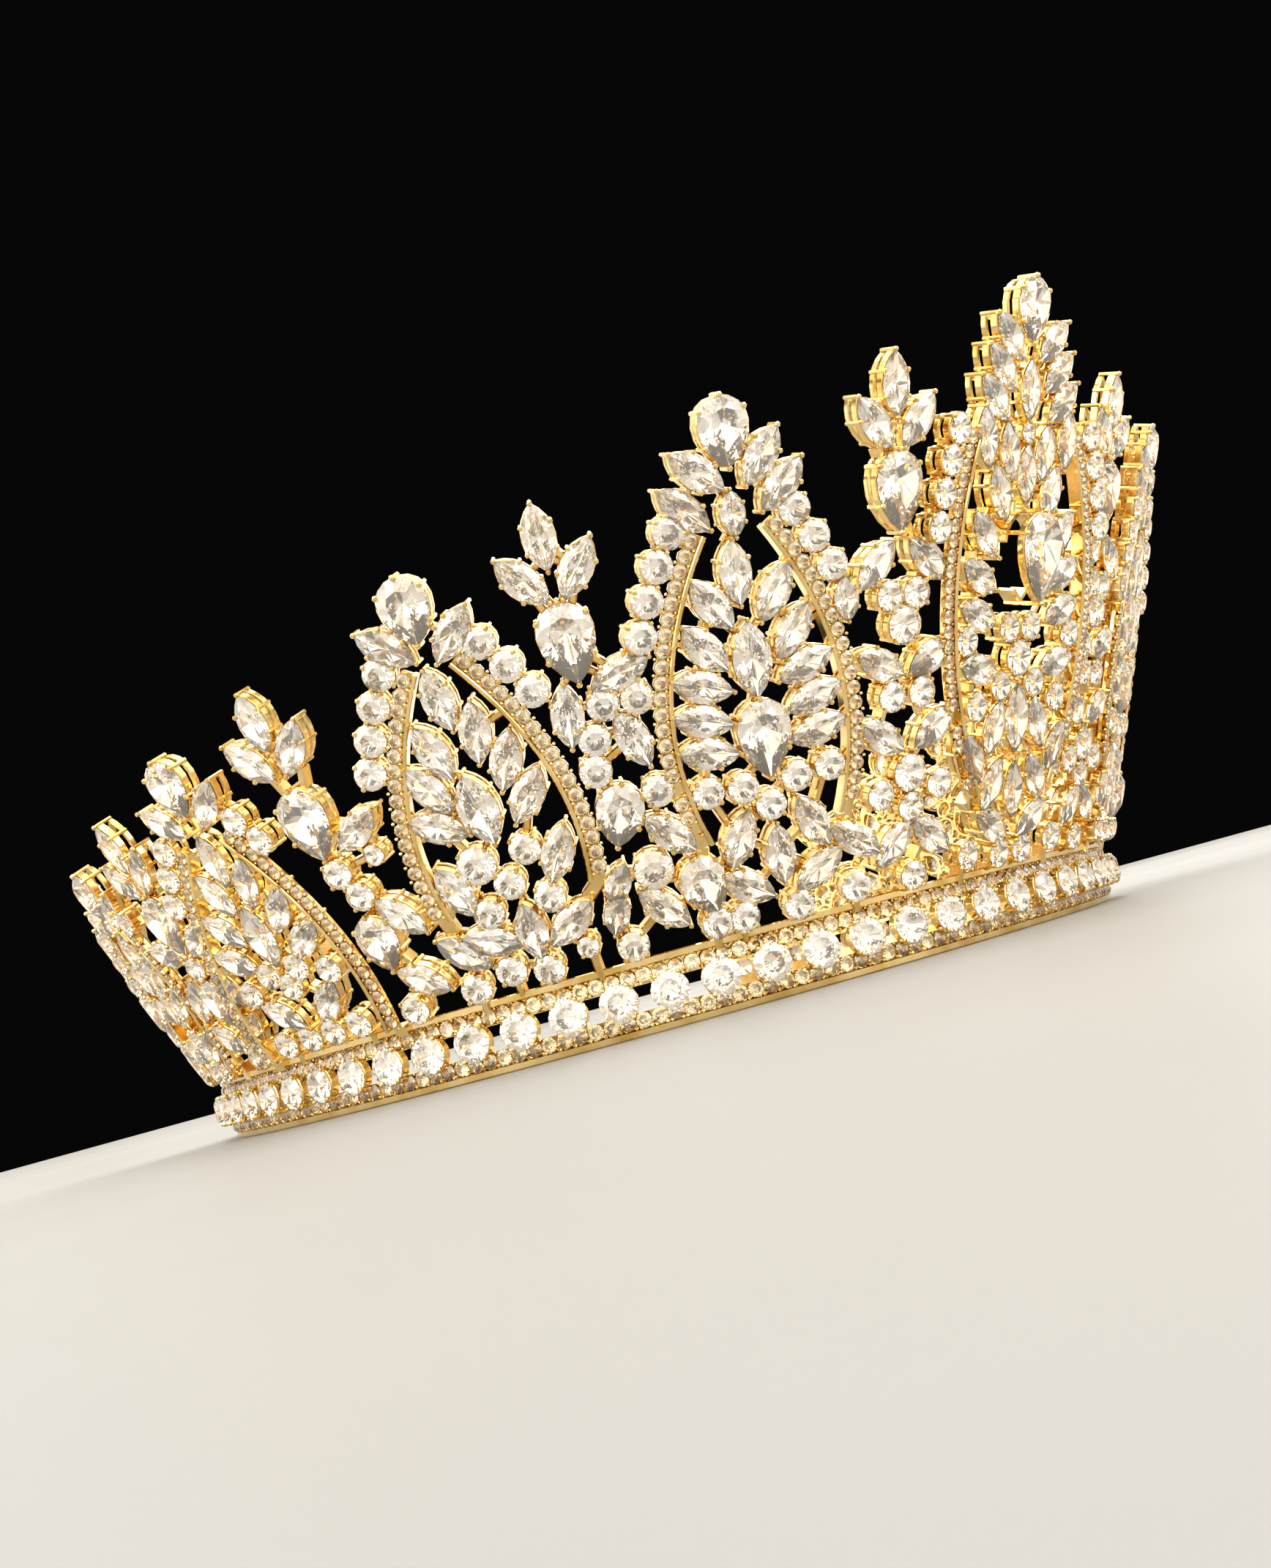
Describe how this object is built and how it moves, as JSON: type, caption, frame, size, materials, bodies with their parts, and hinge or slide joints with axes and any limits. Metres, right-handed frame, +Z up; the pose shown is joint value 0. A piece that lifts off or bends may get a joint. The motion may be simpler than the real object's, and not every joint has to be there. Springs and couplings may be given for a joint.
{
  "type": "bridal crown",
  "caption": "Tall open-backed bridal crown of gold metal: pointed arches and finials of clear cut stones on a low band",
  "frame": {"origin": "The middle of the band's circle, on the plane of its lower edge, where the crown rests", "axes": "+Z up, away from the head; -Y toward the crown's front; +X along its width, to the wearer's left"},
  "size_m": [0.194, 0.1626, 0.0828],
  "materials": {
    "gold": "polished yellow gold plating",
    "clear_stone": "clear faceted zirconia"
  },
  "bodies": {
    "root": {"frame": "gold", "band_stones": "clear_stone", "arch_leaves": "clear_stone", "finial_leaves": "clear_stone", "arch_0_big_stone": "clear_stone", "arch_0_crest_stone": "clear_stone", "arch_0_long_stone": "clear_stone", "arch_1_left_crest_stone": "clear_stone", "arch_1_left_drop_stone": "clear_stone", "arch_1_left_long_stone": "clear_stone", "arch_1_left_low_stone": "clear_stone", "arch_1_right_crest_stone": "clear_stone", "arch_1_right_drop_stone": "clear_stone", "arch_1_right_long_stone": "clear_stone", "arch_1_right_low_stone": "clear_stone", "arch_2_left_crest_stone": "clear_stone", "arch_2_left_long_stone": "clear_stone", "arch_2_right_crest_stone": "clear_stone", "arch_2_right_long_stone": "clear_stone", "arch_3_left_crest_stone": "clear_stone", "arch_3_left_long_stone": "clear_stone", "arch_3_right_crest_stone": "clear_stone", "arch_3_right_long_stone": "clear_stone", "arch_4_left_crest_stone": "clear_stone", "arch_4_right_crest_stone": "clear_stone", "finial_1_left_drop_stone": "clear_stone", "finial_1_right_drop_stone": "clear_stone", "finial_2_left_drop_stone": "clear_stone", "finial_2_left_low_stone": "clear_stone", "finial_2_right_drop_stone": "clear_stone", "finial_2_right_low_stone": "clear_stone", "finial_3_left_drop_stone": "clear_stone", "finial_3_left_low_stone": "clear_stone", "finial_3_right_drop_stone": "clear_stone", "finial_3_right_low_stone": "clear_stone", "finial_4_left_drop_stone": "clear_stone", "finial_4_left_low_stone": "clear_stone", "finial_4_right_drop_stone": "clear_stone", "finial_4_right_low_stone": "clear_stone", "finial_5_left_drop_stone": "clear_stone", "finial_5_right_drop_stone": "clear_stone"}
  },
  "joints": []
}
